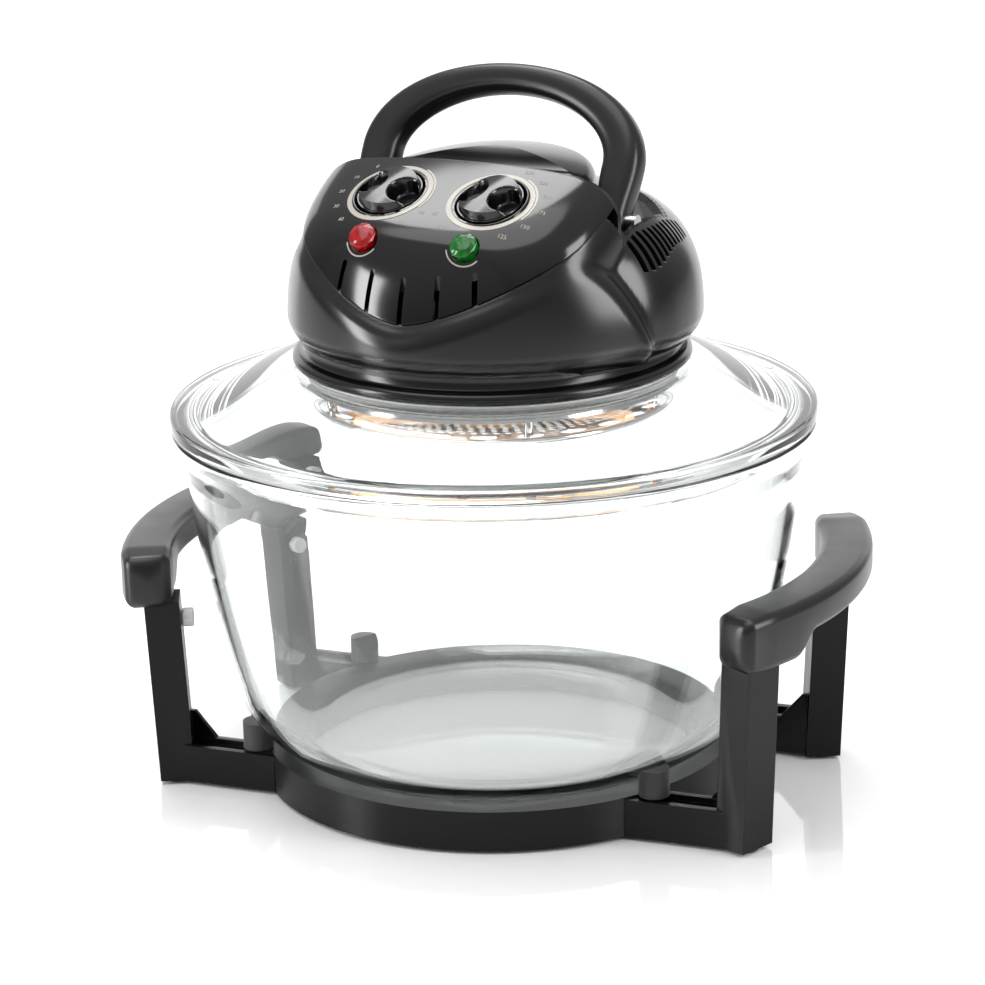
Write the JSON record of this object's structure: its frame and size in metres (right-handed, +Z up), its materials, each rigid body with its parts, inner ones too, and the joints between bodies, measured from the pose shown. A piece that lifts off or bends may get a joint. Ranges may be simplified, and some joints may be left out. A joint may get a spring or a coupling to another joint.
{
  "type": "air fryer",
  "caption": "Halogen air fryer: glass bowl in a carrying stand with curved grips, glass lid with a fan heater head, two dials, lamps and a folding carry handle.",
  "frame": {"origin": "centre of the stand's footprint, on the table", "axes": "+Z up, -Y towards the user, +X towards the right grip"},
  "size_m": [0.394, 0.336, 0.3763],
  "materials": {
    "stand_plastic": "satin black",
    "grip_plastic": "satin dark grey",
    "white_silicone": "soft white",
    "black_rubber": "matt",
    "zinc_steel": "zinc plated",
    "bowl_glass": "clear",
    "lid_glass": "clear",
    "collar_plastic": "gloss black",
    "polished_aluminium": "polished",
    "mica_board": "matt",
    "quartz_tube": "frosted",
    "ceramic": "matt",
    "spring_steel": "bright",
    "chromed_steel": "bright",
    "shell_plastic": "semi gloss black",
    "panel_gloss": "high gloss black",
    "silver_print": "printed silver",
    "red_lens": "clear red",
    "green_lens": "clear green",
    "neon_glass": "clear",
    "movement_plastic": "moulded cream",
    "lamination_steel": "stacked",
    "copper_winding": "enamelled copper",
    "bearing_bronze": "sintered",
    "inlet_plastic": "satin",
    "brass_pins": "bright",
    "switch_plastic": "moulded blue",
    "handle_plastic": "semi gloss black",
    "knob_plastic": "gloss black"
  },
  "bodies": {
    "stand": {"stand_ring": "stand_plastic", "leg_front_right": "stand_plastic", "leg_front_left": "stand_plastic", "leg_rear_right": "stand_plastic", "leg_rear_left": "stand_plastic", "grip_right": "grip_plastic", "grip_left": "grip_plastic", "bowl_bumpers": "white_silicone", "bowl_pads": "black_rubber", "stand_feet": "black_rubber", "leg_screws": "zinc_steel", "grip_screws": "zinc_steel"},
    "bowl": {"glass_bowl": "bowl_glass"},
    "lid": {"glass_lid": "lid_glass", "lid_gasket": "white_silicone", "collar_ring": "collar_plastic", "reflector": "polished_aluminium", "heat_shield": "mica_board", "halogen_tube": "quartz_tube", "tube_end_caps": "ceramic", "tube_clips": "spring_steel", "fan_guard": "chromed_steel", "guard_posts": "chromed_steel", "chassis_plate": "zinc_steel", "head_shell": "shell_plastic", "rear_crown": "shell_plastic", "control_panel": "panel_gloss", "scale_rings": "silver_print", "power_lens": "red_lens", "heat_lens": "green_lens", "neon_lamps": "neon_glass", "timer_body": "movement_plastic", "thermostat_body": "movement_plastic", "motor_stator": "lamination_steel", "motor_coils": "copper_winding", "motor_bracket_lower": "zinc_steel", "motor_bracket_upper": "zinc_steel", "motor_pillars": "zinc_steel", "shaft_bearings": "bearing_bronze", "power_inlet": "inlet_plastic", "inlet_pins": "brass_pins", "terminal_block": "ceramic", "safety_switch": "switch_plastic", "shell_screws": "zinc_steel", "handle_pins": "spring_steel"},
    "plunger": {"switch_plunger": "movement_plastic"},
    "handle": {"carry_handle": "handle_plastic"},
    "timer_dial": {"timer_knob": "knob_plastic", "timer_shaft": "spring_steel"},
    "heat_dial": {"thermostat_knob": "knob_plastic", "thermostat_shaft": "spring_steel"},
    "rotor": {"drive_shaft": "spring_steel", "motor_rotor": "lamination_steel", "cooling_fan": "polished_aluminium", "convection_fan": "polished_aluminium", "fan_nut": "spring_steel"}
  },
  "joints": [
    {"name": "bowl_lift", "type": "slide", "parent": "stand", "child": "bowl", "axis": [0, 0, 1], "range_m": [0, 0.16]},
    {"name": "lid_lift", "type": "slide", "parent": "bowl", "child": "lid", "axis": [0, 0, 1], "range_m": [0, 0.08]},
    {"name": "handle_fold", "type": "hinge", "parent": "lid", "child": "handle", "pos_m": [0, 0, 0.304], "axis": [-0.9925, 0.1219, 0], "range_deg": [0, 40]},
    {"name": "plunger_press", "type": "slide", "parent": "lid", "child": "plunger", "axis": [0, 0, -1], "range_m": [0, 0.003]},
    {"name": "timer_turn", "type": "hinge", "parent": "lid", "child": "timer_dial", "pos_m": [-0.03463, -0.04814, 0.321], "axis": [0.0534, 0.4351, -0.8988], "range_deg": [0, 300]},
    {"name": "heat_turn", "type": "hinge", "parent": "lid", "child": "heat_dial", "pos_m": [0.02195, -0.05509, 0.321], "axis": [0.0534, 0.4351, -0.8988], "range_deg": [0, 270]},
    {"name": "fan_spin", "type": "hinge", "parent": "lid", "child": "rotor", "pos_m": [0, 0, 0.25], "axis": [0, 0, 1], "continuous": true}
  ],
  "couplings": [
    {"joint": "plunger_press", "follows": "handle_fold", "m_per_rad": 0.0042972}
  ]
}
